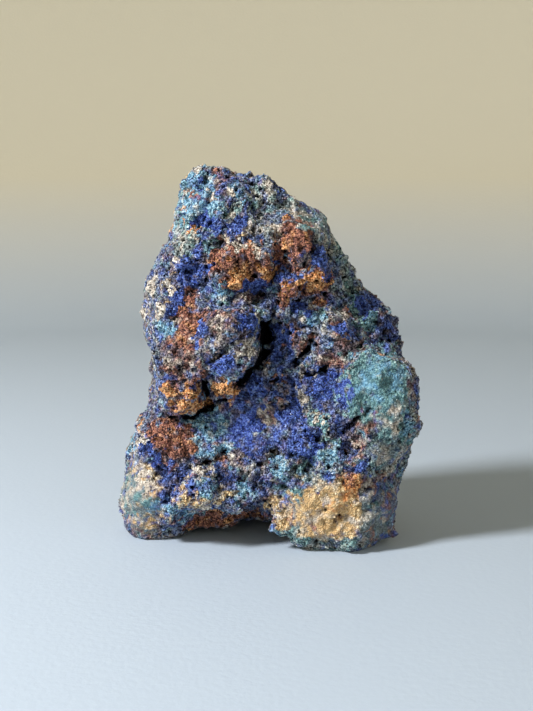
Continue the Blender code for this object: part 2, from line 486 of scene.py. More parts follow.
CRACKS = {  # line, half width, depth
    "deep cleft": (((-0.3, 36.2), (-0.3, 34.6), (-0.1, 33.0), (-0.2, 31.4)), 1.0, 7.5),
    "foot of the cleft": (((-0.5, 31.2), (-1.2, 29.8), (-2.8, 28.4), (-3.9, 26.8)), 1.1, 5.0),
    "top of the cleft": (((-0.2, 36.6), (1.0, 37.4), (1.1, 38.8)), 0.4, 2.0),
    "over the cleft": (((-1.4, 39.4), (-0.9, 40.3), (0.0, 40.6)), 0.4, 1.6),
    "fold of the boulder": (((-9.0, 31.0), (-7.8, 31.8), (-6.4, 32.8)), 0.5, 2.0),
    "under the boulder": (((-4.4, 25.6), (-6.5, 24.0), (-9.3, 22.6)), 0.5, 2.0),
    "under the column": (((-9.3, 22.4), (-11.5, 21.1), (-14.2, 20.9), (-16.5, 21.5)), 0.7, 2.8),
    "between the tips": (((-9.4, 28.6), (-9.7, 26.5), (-9.6, 23.4)), 0.8, 3.4),
    "round the knoblet": (((-1.5, 40.2), (-0.6, 41.0), (1.0, 42.2), (1.1, 44.4), (3.4, 46.5)), 0.5, 2.2),
    "right of the knoblet": (((3.5, 46.1), (3.7, 44.6), (3.0, 43.0)), 0.4, 1.6),
    "right of the lump": (((5.9, 42.8), (5.7, 41.5), (4.8, 39.8)), 0.55, 2.2),
    "behind the right knoll": (((7.5, 50.0), (7.5, 48.5), (7.0, 46.8), (5.5, 45.3)), 0.45, 1.8),
    "shoulder": (((10.0, 47.8), (10.8, 46.2), (10.6, 44.8), (10.4, 42.6)), 0.45, 1.8),
    "long crack": (((4.7, 29.9), (5.5, 31.0), (6.4, 32.2), (6.9, 33.2)), 0.6, 2.8),
    "thin end of the long crack": (((6.9, 33.2), (7.4, 34.2), (8.1, 35.2)), 0.3, 1.2),
    "short crack": (((9.0, 32.7), (10.0, 33.6), (11.3, 34.3)), 0.4, 1.4),
    "shelf over the field": (((5.9, 28.0), (7.4, 28.0), (9.0, 28.6)), 0.45, 2.0),
    "brow of the green lobe": (((12.8, 31.0), (14.5, 32.6), (18.2, 33.6), (21.4, 32.6)), 0.4, 1.5),
    "slot in the lobe": (((13.0, 20.2), (14.5, 21.9), (15.9, 23.0)), 0.6, 2.6),
    "second slot": (((15.6, 21.2), (16.8, 21.7)), 0.5, 1.8),
    "left gully": (((-17.0, 7.4), (-14.6, 9.6), (-12.6, 12.8), (-9.0, 14.4), (-6.2, 16.0)), 0.55, 1.8),
    "step": (((-4.0, 11.5), (-2.2, 13.5), (0.0, 15.2), (3.0, 16.4)), 0.45, 1.6),
    "lip": (((-4.6, 7.3), (-2.0, 7.9), (0.0, 8.3), (2.2, 9.2)), 0.4, 1.5),
    "by the cream ridge": (((2.6, 22.0), (3.9, 24.0), (4.4, 26.0), (4.1, 27.5)), 0.45, 1.5),
    "tip fork": (((0.2, 26.7), (2.0, 27.2), (4.0, 27.4)), 0.4, 1.3),
}
HOLES = {  # place, radius, depth
    "eye": ((-12.5, 44.2), 0.8, 2.6),
    "temple pore": ((-9.1, 53.6), 0.4, 1.2),
    "hole in the lump": ((4.4, 43.0), 0.7, 2.2),
    "hole in the foot": ((11.3, 5.8), 0.5, 1.8),
    "pit": ((9.3, 29.0), 0.9, 3.0),
    "hollow under the column": ((-14.0, 21.2), 0.7, 2.4),
    "right pore": ((11.8, 38.5), 0.4, 1.3),
    "slit": ((4.2, 14.1), 0.45, 1.4),
    "shoulder pore": ((10.4, 42.3), 0.45, 1.4),
    "column pore": ((-15.6, 43.7), 0.45, 1.3),
    "column pore below": ((-16.4, 41.2), 0.4, 1.2),
    "knoll pore": ((4.2, 48.2), 0.4, 1.2),
    "knoll pore above": ((5.6, 51.4), 0.4, 1.2),
}
print(len(LUMPS), "lumps,", len(TERRACES), "terraces,", len(CRACKS), "cracks,", len(HOLES), "holes")

# %% [markdown]
# The lumps and terraces move only points that look to the front. The cracks move every point of the
# face, walls of clefts as well, so that a second cut goes on where the first one ended. Half of
# their depth is cut now and a little more than half after the relief, which partly fills them.


# %% Carve the face
def facing_front(mesh):
    return ramp(-normals_of(mesh)[:, 1], -0.1, 0.35)


def raise_lumps(mesh):
    points = points_of(mesh)
    front = facing_front(mesh)
    out = np.zeros(len(points))
    for (x, z), wide, high, stand in LUMPS.values():
        away = np.hypot((points[:, 0] - x) / wide, (points[:, 2] - z) / high)
        out += stand * ramp(-away, -1.15, -0.35)
    points[:, 1] -= out * front
    move_points(mesh, points)


def raise_terraces(mesh):
    """Lifts whole shelves, which end in a crisp edge."""
    points = points_of(mesh)
    wander = points + drift(points, 1.8, 5, 1.0)
    out = np.zeros(len(points))
    for outline, stand, fade in TERRACES.values():
        inside = is_inside(wander, outline)
        edge = distance_to_line(wander, outline + outline[:1]) * np.where(inside, 1, -1)
        out = np.maximum(out, stand * ramp(edge, -0.3, 0.5) * ramp(-points[:, 2], -fade - 3, -fade))
    points[:, 1] -= out * facing_front(mesh)
    move_points(mesh, points)


def crack_depth(points):
    """How deep the cracks and holes go at each point, seen from the front."""
    wander = points + drift(points, 1.4, 1, 0.9)
    depth = np.zeros(len(points))
    for line, half, deep in CRACKS.values():
        gap = distance_to_line(wander, line)
        depth = np.maximum(depth, deep * ramp(-gap, -1.5 * half, -0.2 * half))
    for (x, z), radius, deep in HOLES.values():
        gap = np.hypot(wander[:, 0] - x, wander[:, 2] - z)
        depth = np.maximum(depth, deep * ramp(-gap, -1.5 * radius, -0.4 * radius))
    return depth * (0.75 + 0.9 * noise_at(points, 1.8, 4))


def on_face(points):
    """1 for points of the broad face, walls of clefts as well, and 0 for points behind it."""
    return ramp(-points[:, 1], 0.5, 2.5)


def cut_cracks(mesh, share):
    points = points_of(mesh)
    points[:, 1] += crack_depth(points) * share * on_face(points)
    move_points(mesh, points)


raise_lumps(rock.data)
raise_terraces(rock.data)
cut_cracks(rock.data, 0.5)
remesh(rock, 0.42)

# %% [markdown]
# ## Broken relief
#
# The real surface is broken at every size: knobs of 3 to 4 mm, chips of 1.5 mm on them, and grains
# of less than a millimetre on those. A displacement texture would give only soft waves. Cells do
# better: in a facet each cell is a small plane with its own tilt, and in a nodule each point is
# lifted by how near it is to the middle of its cell. A ridged noise adds sharp crests.


# %% Kinds of relief
def nodules_at(points, size, seed=0):
    shift = Vector((5.3, 17.1, -9.7)) * seed
    nearest = [noise.voronoi(Vector(p) / size + shift)[0][0] for p in points]
    return 0.39 - np.minimum(np.array(nearest), 1.0) ** 1.5


def facets_at(points, size, seed=0):
    shift = Vector((9.1, -4.7, 13.3)) * seed
    levels = []
    for point in points:
        place = Vector(point) / size + shift
        middle = noise.voronoi(place)[1][0]
        tilt = Vector([noise.noise(middle * turn) for turn in (3.7, 4.3, 4.9)])
        levels.append(tilt.dot(place - middle) + 0.7 * noise.noise(middle * 5.3))
    return np.array(levels)


def ridges_at(points, size, seed=0):
    return 0.22 - np.abs(noise_at(points, size, seed))


def slanted(points):
    """Squeezes space along the slant from low left to high right, so that relief runs along it."""
    along = (points[:, 0] + points[:, 2]) * 0.5
    across = (points[:, 2] - points[:, 0]) * 0.7
    return np.stack([along, points[:, 1], across], 1)


# %% [markdown]
# The relief is not the same all over. The green lobe, the sandy foot and the rims wear a smooth
# skin, so there it is calmed. The broad faces that broke off behind are larger and flatter.

# %% Broken relief
MOST_DEPTH = 16.1
CALM = {  # places where the broad face is smoother: centre, half width, half height, how much
    "green lobe": ((17.5, 26), 6, 7, 0.6),
    "lobe side": ((20, 17), 5, 5, 0.4),
    "sandy foot": ((9, 7), 8, 6, 0.7),
    "middle field": ((-3, 20.5), 7, 5, 0.3),
    "left foot": ((-21, 7), 5, 8, 0.7),
    "right strip": ((8, 53), 6, 3, 0.5),
    "temple": ((-12, 55), 4, 3, 0.3),
    "right foot": ((18, 6), 5, 8, 0.6),
}


def calm_of(points):
    calm = np.zeros(len(points))
    for (x, z), wide, high, share in CALM.values():
        away = np.hypot((points[:, 0] - x) / wide, (points[:, 2] - z) / high)
        calm = np.maximum(calm, share * ramp(-away, -1.2, -0.5) * (points[:, 1] < 0))
    return calm


def roughness_of(points):
    rough = 0.7 + 0.5 * ramp(noise_at(points, 9, 11), -0.3, 0.3)
    return rough * (1 - 0.8 * calm_of(points))


def stand_out(mesh, height):
    """Moves each point along its normal, but keeps the flat feet flat."""
    points = points_of(mesh)
    normals = normals_of(mesh)
    feet = ramp(points[:, 2], 0.05, 0.8)
    move_points(mesh, points + normals * (height * feet)[:, None])


def press_within(mesh, limit):
    """Presses what stands out further than the limit, to the front or the back, softly back."""
    points = points_of(mesh)
    over = np.maximum(np.abs(points[:, 1]) - limit, 0)
    points[:, 1] -= np.sign(points[:, 1]) * (over - 0.4 * np.tanh(over / 0.4))
    move_points(mesh, points)


points = points_of(rock.data)
facing = normals_of(rock.data)[:, 1]
behind = ramp(facing, 0.1, 0.6)
rim = 1 - np.abs(facing)
height = 2.0 * ridges_at(slanted(points), 3.6, 1) * (1 - 0.55 * behind)
height += 1.7 * facets_at(slanted(points), 2.6, 2) * (1 - 0.35 * behind)
height += 1.0 * facets_at(points, 1.5, 3)
height += 1.0 * facets_at(points, 5.5, 6) * behind
print("relief spreads by", round(float(height.std()), 2), "mm")
stand_out(rock.data, height * roughness_of(points) * (1 - 0.45 * rim))
cut_cracks(rock.data, 0.6)
press_within(rock.data, MOST_DEPTH)
remesh(rock, 0.3)

# %% [markdown]
# The deep cuts can pinch off a crumb of the net inside the rock, which would be a stray shell in the
# finished mesh. The crumb could be hunted down by its size, but it is simpler to keep what is joined
# to the highest point. The finest relief comes last: chips under a millimetre, and small deep pores.

# %% Drop the crumbs, and add the finest relief
PORE_SPACING = 1.9
PORE_DEPTH = 1.1
FLAT_BELOW = 0.15


def drop_crumbs(piece):
    top = int(points_of(piece.data)[:, 2].argmax())
    only_select(piece)
    bpy.ops.object.mode_set(mode="EDIT")
    bpy.ops.mesh.select_mode(type="VERT")
    bpy.ops.mesh.select_all(action="DESELECT")
    bpy.ops.object.mode_set(mode="OBJECT")
    piece.data.vertices[top].select = True
    bpy.ops.object.mode_set(mode="EDIT")
    bpy.ops.mesh.select_linked()
    bpy.ops.mesh.select_all(action="INVERT")
    bpy.ops.mesh.delete(type="VERT")
    bpy.ops.object.mode_set(mode="OBJECT")


def pore_depth(points):
    """Small deep pores, strewn at random: a cell's middle is a pore if the cell draws a high lot."""
    depths = []
    for point in points:
        near, middles = noise.voronoi(Vector(point) / PORE_SPACING + Vector((3.1, 8.7, 5.9)))
        lot = noise.noise(middles[0] * 3.3)
        depths.append((0.24 - near[0]) * (lot > -0.08))
    open_share = np.maximum(1 - 1.3 * calm_of(points), 0)
    return PORE_DEPTH * ramp(np.array(depths), 0.0, 0.12) * open_share


drop_crumbs(rock)
points = points_of(rock.data)
height = 0.4 * facets_at(points, 0.8, 4) + 0.35 * nodules_at(points, 0.7, 5)
stand_out(rock.data, (height - pore_depth(points)) * roughness_of(points))
points = points_of(rock.data)
points[:, 2] = np.where(points[:, 2] < FLAT_BELOW, 0, points[:, 2])
move_points(rock.data, points)
print("relief done,", len(rock.data.polygons), "faces")

# %% [markdown]
# The broad face needs all of this net, the dull back does not. A vertex group marks the points
# that look away from the front, and Decimate thins the net out there only.

# %% Thin out the dull back
MOST_TRIANGLES = 190000

dull = ramp(normals_of(rock.data)[:, 1], -0.2, 0.4)
group = rock.vertex_groups.new(name="dull_back")
for index, weight in enumerate(dull):
    group.add([index], weight, "REPLACE")
thin = rock.modifiers.new("thin_out", "DECIMATE")
thin.ratio = MOST_TRIANGLES / (2 * len(rock.data.polygons))
thin.vertex_group = group.name
thin.vertex_group_factor = 1.0
apply_modifiers(rock)
rock.vertex_groups.clear()
rock.data.shade_flat()
rock.data.calc_loop_triangles()
print("thinned out to", len(rock.data.loop_triangles), "triangles")

# %% [markdown]
# ## Mineral fields
#
# Which mineral shows where is stored on the points, as one soft field for each mineral. A field is
# highest in the middle of a patch and falls away past its rim. The finish later decides grain by
# grain against these fields, so that edges are crumbly as on the real crust, never airbrushed. The
# patches are named after their places on the face, and given as centre x and z, half width and half
# height.

# %% Patches on the broad face
PATCHES = {
    "dusty": {
        "left rim": (-19, 41.5, 1.1, 2.7),
        "left rim low": (-18, 32, 0.6, 3.2),
        "brow field": (0, 50, 2.4, 3),
        "right shoulder": (13, 43.5, 1.6, 2.1),
        "right field": (9, 36.5, 3.2, 2.1),
        "right foot side": (16.5, 9, 1.6, 1.8),
        "left slope": (-21.5, 16.5, 1.1, 2.9),
        "boulder": (-5, 32.5, 1.9, 1.3),
        "cheek": (-13.5, 50.5, 1.3, 1.9),
        "centre": (5.5, 23.5, 1.4, 1.4),
    },
    "deep": {
        "brow": (-3.5, 55.5, 1.4, 2.1),
        "eyebrow": (-10, 49, 1.8, 2.1),
        "crown": (-7, 59, 1.3, 1.6),
        "by the lip nodule": (-6.5, 12, 1.6, 1.6),
        "right knob": (19, 34.5, 2.1, 2.1),
        "knob rim": (21, 35.5, 0.8, 1.9),
        "under the green lobe": (12, 19, 1.3, 2.9),
        "left gully": (-15, 11, 2.4, 2.9),
        "crown edge": (2, 58, 1.1, 1.1),
        "field": (4, 26.5, 1.4, 1.3),
        "under the tip": (-4, 24.5, 1.4, 0.8),
        "lower step": (-2, 16.5, 2.2, 1.3),
    },
    "mauve": {
        "crown": (-7.5, 59, 1.1, 1.3),
        "boulder top": (-6.5, 37, 2.1, 1.6),
        "under the ochre": (-3, 40.5, 1.4, 1),
        "right field": (11.5, 37, 1.6, 1.3),
        "right field low": (13, 33, 2.4, 1.4),
        "over the pit": (11, 30.5, 2.1, 1.3),
        "middle field": (0, 21.5, 1.8, 1.3),
        "brown patch": (4, 34.5, 1.9, 1.4),
        "step": (-5.5, 15, 2.4, 0.8),
        "step right": (-0.5, 15.5, 1.3, 1),
        "column": (-13, 31.5, 3.5, 2.1),
        "cleft side": (2.5, 24, 0.8, 1.8),
        "foot side": (17, 11.5, 1.3, 1),
        "column band": (-12.5, 35.5, 1.9, 2.2),
        "lobe spot": (14, 18.5, 1.1, 1),
        "boulder front": (-4, 33.5, 1.3, 1.3),
    },
    "grey": {
        "temple": (-6, 54.5, 1.1, 1),
        "vein top": (-2, 56.5, 0.7, 1.7),
        "vein": (-2.5, 53.5, 0.6, 1.5),
        "cheek": (-13, 48.5, 1.3, 1.9),
        "strip at the crown": (0.5, 58, 1.3, 1),
        "strip by the brow": (3.5, 55, 1.8, 1.1),
        "strip above the knoll": (6.5, 53, 1.4, 1.1),
        "strip at the corner": (9, 51, 1.3, 1.3),
        "strip by the knoll": (11, 48.5, 1.1, 1.6),
        "strip below the knoll": (12.5, 45.5, 1.1, 1.8),
        "strip at the shoulder": (14, 42, 1.1, 1.6),
        "lobe side": (20, 21.5, 1.6, 2.7),
        "lobe low": (19, 16.5, 2.7, 3.3),
        "boulder side": (-1.5, 38, 1, 1.1),
        "foot speckle": (8, 11.5, 1.4, 1.4),
        "left foot": (-21.5, 7.5, 2.9, 3.2),
        "right foot side": (16.5, 6.5, 1.9, 2.1),
        "right foot edge": (8.5, 1.5, 6.7, 1),
        "low lip": (5.5, 3.5, 4.1, 1),
    },
    "teal": {
        "temple": (-13, 54, 2.6, 2.6),
        "brow spot": (-9, 51, 1, 0.8),
        "eyebrow": (-8.5, 48, 1, 1.3),
        "green lobe": (18, 28, 3.3, 3.7),
        "lobe tongue": (13, 25, 1.4, 2.4),
        "lobe brow": (14, 31.5, 1.9, 1),
        "lobe side": (21.5, 21, 1, 2.6),
        "field fleck": (8, 21.5, 1.3, 1),
        "shoulder": (14.5, 39, 1, 2.2),
        "shoulder low": (16.5, 36.5, 1, 1),
        "tongue": (9.5, 17, 1.3, 1.9),
        "right foot": (4.5, 9.5, 1.4, 1.1),
    },
    "cyan": {
        "crown": (-11, 59, 1.9, 1.6),
        "temple": (-12, 54.5, 2.7, 2.1),
        "brow left": (-4.5, 57, 0.8, 1.4),
        "centre patch": (-6.5, 41, 1.6, 1.3),
        "column spot": (-16, 35.5, 1.4, 1.6),
        "under the boulder": (-4, 29, 1, 0.6),
        "step patch": (-10.5, 20, 2.9, 2.6),
        "lip nodule": (-10, 11, 1.6, 1.9),
        "left lip": (-16.5, 7, 2.7, 1),
        "lip middle": (-12.5, 5, 2.6, 0.6),
        "field spot": (-1.5, 19.5, 1.1, 0.6),
        "low field": (-3.5, 10.0, 1.4, 1.8),
        "white fleck": (1, 41, 0.6, 0.5),
        "right field": (7.5, 37.5, 1.4, 1.1),
        "tongue": (9, 16, 1.3, 1.9),
        "left rim": (-23.5, 14, 0.5, 1.6),
        "right foot edge": (1.5, 2.5, 1.3, 1.1),
        "step end": (2, 14, 1.3, 1.3),
    },
    "rust": {
        "knoll": (-4.5, 46.5, 4.1, 2.6),
        "knoll left": (-8, 45, 1.4, 1.3),
        "column fleck": (-13, 41.5, 0.8, 1.1),
        "column band": (-12.5, 37.5, 1.4, 3.8),
        "right knoll": (4.5, 50, 2.6, 2.4),
        "right knoll low": (2, 46, 1.3, 1.1),
        "brown patch edge": (6.5, 34, 1, 0.6),
        "tan boss": (8.4, 39.2, 1.0, 0.8),
        "left slope": (-15, 17.5, 3.2, 3.5),
        "crack fleck": (2.4, 27.2, 0.5, 0.4),
        "tip fleck": (-4.5, 27.5, 0.6, 0.5),
        "column right": (-11, 36.5, 1, 1),
        "temple fleck": (-12.5, 56.5, 0.6, 0.5),
        "below the knoblet": (3, 40, 1, 0.8),
        "under the arch": (-7, 3, 6.1, 1.4),
    },
    "ochre": {
        "knoll foot": (-4.5, 43.5, 1.6, 1.3),
        "knoll right": (0, 44, 1.1, 1.4),
        "lump top": (5, 44, 1.1, 0.6),
        "lump": (3.7, 42, 1.2, 1.8),
        "second lump": (8, 43, 1.8, 1.9),
        "temple": (-14, 53.5, 0.6, 0.6),
        "temple low": (-12, 51.5, 0.6, 0.8),
        "tip left": (-12, 26.5, 1.6, 1.0),
        "tip middle": (-12.5, 23.5, 2.4, 1.2),
        "tip right": (-10, 23.5, 1, 0.8),
        "boulder tip": (-6.5, 26, 2.3, 1.3),
        "column nodule": (-16, 27, 1, 1.1),
        "foot top": (13, 11.5, 2.0, 1.8),
        "foot crest": (12, 8.8, 1.8, 1.6),
        "left slope": (-21, 19, 0.5, 0.6),
    },
    "sand": {
        "foot left": (3, 6, 2.2, 1.9),
        "foot middle": (7.5, 7, 2.9, 2.4),
        "foot low": (9.5, 5, 2.4, 1.9),
        "foot centre": (10.5, 10.5, 2.1, 1.8),
        "foot right": (13.5, 6.5, 1.4, 1.8),
        "foot crown": (6.5, 9.5, 1.4, 1.2),
        "lip nodule": (-13, 9, 1, 1.8),
        "lip fleck": (-6, 9, 1, 0.8),
    },
    "cream": {
        "peak": (-11, 60.5, 0.6, 0.6),
        "crown": (-6, 57, 0.6, 0.6),
        "crown left": (-9, 56.5, 0.6, 0.5),
        "vein foot": (-3, 51.5, 0.6, 1.1),
        "knoll brow": (-5, 49, 1.6, 0.5),
        "column top": (-16, 42.5, 0.8, 0.6),
        "column": (-16.5, 39, 0.8, 1.4),
        "left rim": (-19, 42.5, 0.5, 1.6),
        "left rim low": (-20.5, 36.5, 0.5, 1),
        "by the eye": (-14.5, 46, 0.6, 1.3),
        "brow": (1.5, 51, 0.5, 1),
        "knoll side": (-1, 48, 0.4, 0.8),
        "ridge": (5.3, 26.3, 1.0, 2.3),
        "ridge end": (7.5, 28, 0.5, 0.5),
        "lip nodule": (-10, 12.5, 1.4, 0.6),
        "left foot": (-19.5, 10.5, 1.2, 0.8),
        "boulder left": (-4.5, 32, 0.8, 0.6),
        "boulder right": (-2.5, 32.5, 0.6, 0.6),
        "left slope": (-20, 17, 0.8, 0.8),
        "field": (8, 22, 0.6, 0.5),
        "lip green": (-9.5, 8, 1, 0.8),
    },
    "electric": {
        "ring of the eye": (-12.5, 44.8, 2.0, 2.2),
        "under the brow": (-11, 45, 2.1, 1.4),
        "brow seam": (-10, 52.5, 2.2, 0.8),
        "brow right": (-4.5, 52, 1.4, 1.3),
        "brow middle": (-7, 51, 1.6, 0.8),
        "column streak": (-15, 40, 1, 2.2),
        "boulder right": (-3, 37, 1.6, 1.4),
        "boulder left": (-10, 35, 1.3, 1.1),
        "above the boulder": (-2.5, 42, 1.9, 1),
        "cleft wall": (2, 33, 1.3, 2.6),
        "fleck by the ochre": (6, 38.5, 1.4, 1),
        "right knob": (16.5, 39, 1.6, 1.4),
        "mauve field fleck": (11.5, 35.5, 1.3, 0.6),
        "under the pit": (10, 26, 2.5, 2.1),
        "lower field": (5.5, 17.5, 2.7, 1.9),
        "middle field": (-3.5, 20, 2.4, 2.6),
        "knoblet": (2.5, 44.5, 1, 1.3),
        "brow side": (9, 46, 1.1, 2.2),
        "left slope": (-19, 15.5, 1, 1.3),
        "left slope low": (-17.5, 14, 1.3, 1),
        "boulder foot": (-7, 30.5, 1.3, 1.3),
        "over the sandy foot": (14.5, 14, 2.2, 0.8),
        "left of the cleft": (-1.5, 26.5, 1.6, 1.6),
        "field right": (3.5, 22.5, 1.6, 2.2),
    },
}
print(sum(map(len, PATCHES.values())), "patches of", len(PATCHES), "minerals")

# %% [markdown]
# Between the patches the crust is not even either. Wide zones say where a mineral is common without
# being solid: half of the zone is taken at a strength of 0.5, and nearly all of it at 0.75.

# %% Wide zones of the broad face
ZONES = {  # centre x and z, half width, half height, strength
    "host": {
        "left foot": (-21, 6, 4.5, 5, 0.62),
        "right edge": (24, 20, 2.5, 12, 0.7),
        "right foot": (17, 4, 5, 6, 0.62),
        "left edge": (-22, 28, 2.5, 14, 0.5),
        "underside": (-5, 1, 30, 3, 0.6),
    },
    "dusty": {
        "upper right": (3, 54, 6, 5, 0.6),
        "left slope": (-21, 16, 3, 7, 0.6),
        "right shoulder": (13, 40, 4, 6, 0.5),
    },
    "deep": {
        "middle field": (1, 20, 9, 5, 0.48),
        "brow": (-8, 50, 6, 4, 0.52),
        "left gully": (-13, 11, 5, 4, 0.52),
        "low field": (-3, 13, 8, 4, 0.52),
    },
    "mauve": {
        "column": (-13, 32, 4, 9, 0.62),
        "boulder": (-6, 34, 4.5, 4.5, 0.6),
        "right field": (11, 34, 5, 4, 0.52),
        "crown": (-6, 59, 3, 2, 0.5),
        "lower step": (-3, 15, 5, 2.5, 0.5),
        "middle field": (-2, 22, 7, 4, 0.46),
        "left slope": (-19, 18, 4, 5, 0.46),
    },
    "grey": {
        "upper right": (7, 52, 6, 4, 0.55),
        "lobe": (20, 19, 5, 8, 0.68),
        "right foot": (10, 3, 10, 4, 0.6),
        "left foot": (-20, 8, 4, 5, 0.5),
    },
    "teal": {
        "lobe": (17, 27, 5, 6, 0.75),
        "temple": (-12, 54, 5, 5, 0.45),
        "right foot": (7, 10, 6, 5, 0.45),
    },
    "cyan": {
        "temple": (-12.5, 55, 5, 5, 0.6),
        "step": (-9, 18, 4, 4, 0.64),
        "low field": (-4, 10, 7, 4, 0.3),
        "left lip": (-15, 6, 5, 2, 0.5),
    },
    "rust": {
        "knoll": (-4, 45.5, 5.5, 3.8, 0.62),
        "right knoll": (4, 49, 4, 4, 0.55),
        "column": (-12.5, 33, 3.5, 9, 0.52),
        "brown patch": (5, 34, 3, 2.5, 0.5),
    },
    "sand": {
        "foot": (8.5, 6.5, 8, 5.5, 0.62),
        "left foot": (-20, 8, 4, 5, 0.5),
        "lip": (-11, 9, 4, 3, 0.4),
    },
    "cream": {
        "left rim": (-18.5, 40, 2.5, 7, 0.4),
        "left slope": (-20, 13, 3, 5, 0.36),
        "lobe": (19.5, 20, 3.5, 5, 0.3),
        "boulder": (-5, 33, 4, 3, 0.34),
    },
    "electric": {
        "middle field": (-1, 20, 8, 4.5, 0.4),
        "lower field": (5, 18, 5, 3, 0.48),
        "cleft wall": (2.5, 31, 2.5, 6, 0.5),
        "under the pit": (9, 26, 4, 3, 0.55),
    },
}

# %% [markdown]
# Shade is painted into the dips, and a painted highlight lightens the crests. A point's dip is how
# far it lies below the average of its neighbours: a few rounds of averaging find the small dips,
# more rounds the deep ones. The averaged normals also tell the broad face from the back better than
# the rough ones do.

# %% Dips and crests
points = points_of(rock.data)
normals = normals_of(rock.data)


def smoothed(mesh, values, rounds):
    """Averages values over neighbouring points, a few times over."""
    edges = np.empty(len(mesh.edges) * 2, np.int32)
    mesh.edges.foreach_get("vertices", edges)
    one, other = edges.reshape(-1, 2).T
    count = np.bincount(one, minlength=len(values)) + np.bincount(other, minlength=len(values))
    for _ in range(rounds):
        total = np.zeros_like(values)
        np.add.at(total, one, values[other])
        np.add.at(total, other, values[one])
        values = total / count[:, None]
    return values


calm_normals = smoothed(rock.data, normals, 12)
calm_normals /= np.linalg.norm(calm_normals, axis=1)[:, None]
dip = ((smoothed(rock.data, points, 3) - points) * calm_normals).sum(1)
deep_dip = ((smoothed(rock.data, points, 14) - points) * calm_normals).sum(1)
front = ramp(-calm_normals[:, 1] + 0.12 * noise_at(points, 3, 21), 0.0, 0.3)
# cavity says where shade is painted: small dips, deep dips, and near-black cracks and pores
cavity = 0.55 * ramp(dip, 0.02, 0.16) + 0.8 * ramp(deep_dip, 0.12, 0.7)
cavity += ramp(crack_depth(points), 1.0, 2.4) * on_face(points) + ramp(pore_depth(points), 0.2, 0.8)
cavity = np.clip(cavity, 0, 1)
# crest says where a painted highlight lightens the tone
crest = ramp(-dip, 0.0, 0.12)
# the share printed is the mean of this painted-shade field
print("dips hold dirt on", round(float(cavity.mean()), 2), "of the rock")

# %% [markdown]
# Away from the patches every mineral is strewn thinly over the ground. Behind the rims there is no
# crust to map, only grey-brown host rock with blotches of green, blue and rust where solutions
# seeped through. No patch is pure either: companions grow in its gaps and over it.

# %% Ground and companions
GROUND = {  # how much of each mineral is strewn over the broad face, and behind the rims
    "host": (0.10, 1.00),
    "dusty": (0.40, 0.26),
    "deep": (0.38, 0.22),
    "mauve": (0.40, 0.36),
    "grey": (0.34, 0.40),
    "teal": (0.26, 0.28),
    "cyan": (0.28, 0.14),
    "rust": (0.28, 0.28),
    "ochre": (0.18, 0.20),
    "sand": (0.18, 0.26),
    "cream": (0.24, 0.22),
    "electric": (0.32, 0.14),
}

COMPANIONS = {  # what else grows inside a patch, under its gaps or over it
    "dusty": {"deep": 0.5, "grey": 0.42, "cream": 0.34},
    "deep": {"mauve": 0.42, "electric": 0.38},
    "mauve": {"deep": 0.5, "rust": 0.4, "cream": 0.34},
    "grey": {"dusty": 0.55, "teal": 0.42, "cream": 0.34},
    "teal": {"grey": 0.6, "cyan": 0.4, "dusty": 0.45},
    "cyan": {"dusty": 0.5, "teal": 0.52, "electric": 0.34, "cream": 0.3},
    "rust": {"mauve": 0.6, "ochre": 0.3, "deep": 0.5},
    "ochre": {"rust": 0.55, "mauve": 0.45},
    "sand": {"grey": 0.5, "ochre": 0.42, "cream": 0.34},
    "cream": {"mauve": 0.5, "dusty": 0.5, "sand": 0.36},
    "electric": {"deep": 0.62, "dusty": 0.42, "mauve": 0.38},
}

wander = points + drift(points, 3.0, 22, 1.5)
wander += drift(points, 1.1, 25, 1.1)
wander += drift(points, 0.5, 28, 0.5)
print(len(GROUND), "minerals on the ground")

# %% [markdown]
# The fields put it all together. The places are read at points that wander a little, which makes
# the outlines of patches and zones ragged, and noise of several sizes breaks them up inside.


# %% Paint the fields
def blot(x, z, wide, high):
    """1 in the middle of a patch, 0.7 at its rim and 0 well outside."""
    away = np.hypot((wander[:, 0] - x) / wide, (wander[:, 2] - z) / high)
    return np.clip(1.7 - away, 0, 1)


def patches_of(mineral):
    blots = [blot(*patch) for patch in PATCHES.get(mineral, {}).values()]
    return np.max(blots, axis=0) * front if blots else np.zeros(len(points))


patched = {mineral: patches_of(mineral) for mineral in GROUND}
strongest = np.max(list(patched.values()), axis=0)
crumble = 0.85 * noise_at(points, 1.5, 61) + 0.4 * noise_at(points, 0.7, 62)
fields = {"cavity": cavity, "crest": crest, "calm": np.maximum(calm_of(points), 0.6 * (1 - front))}
for seed, (mineral, (before, behind)) in enumerate(GROUND.items(), 31):
    level = np.full(len(points), before)
    for x, z, wide, high, strength in ZONES.get(mineral, {}).values():
        level = np.maximum(level, strength * ramp(blot(x, z, wide, high), 0.4, 0.9))
    level -= 0.25 * ramp(strongest, 0.3, 0.8)
    for parent, companions in COMPANIONS.items():
        level = np.maximum(level, companions.get(mineral, 0) * ramp(patched[parent], 0.2, 0.6))
    level = level * front + behind * (1 - front)
    level += 0.25 * noise_at(points, 2.4, seed)
    level += 0.3 * noise_at(points, 1.2, seed + 20)
    level += 0.12 * noise_at(points, 0.6, seed + 60)
    level += 0.25 * (1 - front) * noise_at(points, 6, seed + 40)
    own = patched[mineral]
    fields[mineral] = np.maximum(0.82 * own + crumble * ramp(own, 0, 0.4), level)
# painted light: crests lean to the pale dusty blue as a painted highlight, dips to the dark deep blue as
# painted shade
fields["dusty"] += 0.12 * (crest - 0.3) * front
fields["deep"] += 0.15 * (cavity - 0.1) * front
for name, values in fields.items():
    layer = rock.data.attributes.new(name, "FLOAT", "POINT")
    layer.data.foreach_set("value", values.astype(np.float32))
    print(f"{name:9} covers {values.mean():.2f}")

